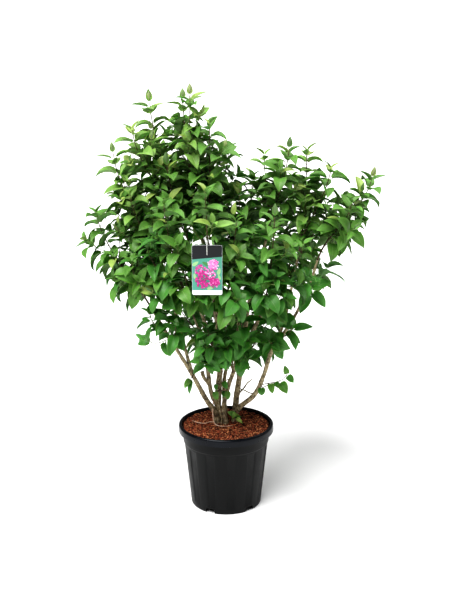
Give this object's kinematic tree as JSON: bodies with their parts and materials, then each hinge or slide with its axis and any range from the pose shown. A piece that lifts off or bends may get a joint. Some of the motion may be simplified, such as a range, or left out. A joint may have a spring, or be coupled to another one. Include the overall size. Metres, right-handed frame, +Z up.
{
  "type": "potted lilac shrub",
  "caption": "Bushy lilac shrub in full leaf, many slender stems rising from bark mulch in a round black nursery pot, with a hanging picture tag.",
  "frame": {"origin": "centre of the pot's flat underside", "axes": "+Z up the plant; -Y is the front, which the tag faces; +X to the right as seen from the front"},
  "size_m": [1.1468, 0.8512, 1.5908],
  "materials": {
    "pot_plastic": "moulded black polypropylene, soft sheen",
    "mulch": "shredded red-brown bark, rough and damp",
    "bark": "grey-brown bark with pale pores and fine fissures",
    "leaf": "living leaf, satin upper side and paler matt underside",
    "tag_card": "printed polystyrene card with a clear gloss"
  },
  "bodies": {
    "root": {"bough_front": "bark", "bough_left_back": "bark", "bough_left_front": "bark", "bough_left_inner": "bark", "bough_left_outer": "bark", "bough_left_upright": "bark", "bough_peak_back": "bark", "bough_right_back": "bark", "bough_right_front": "bark", "bough_right_inner": "bark", "bough_right_outer": "bark", "foliage_back": "leaf", "foliage_front": "leaf", "foliage_left_back": "leaf", "foliage_left_flank": "leaf", "foliage_left_front": "leaf", "foliage_left_low": "leaf", "foliage_left_peak": "leaf", "foliage_left_shoulder": "leaf", "foliage_peak_back": "leaf", "foliage_peak_right": "leaf", "foliage_right_back": "leaf", "foliage_right_front": "leaf", "foliage_right_low": "leaf", "foliage_right_peak": "leaf", "foliage_right_reach": "leaf", "foliage_right_shoulder": "leaf", "foliage_saddle": "leaf", "foliage_skirt_back": "leaf", "foliage_skirt_back_left": "leaf", "foliage_skirt_front": "leaf", "foliage_skirt_left": "leaf", "foliage_skirt_right": "leaf", "pot": "pot_plastic", "sprig_centre": "leaf", "sprig_foot": "leaf", "sprig_left": "leaf", "sprig_right": "leaf", "stem_centre": "bark", "stem_centre_back": "bark", "stem_left": "bark", "stem_right": "bark", "substrate": "mulch", "surface_root": "bark", "tag": "tag_card"}
  },
  "joints": []
}
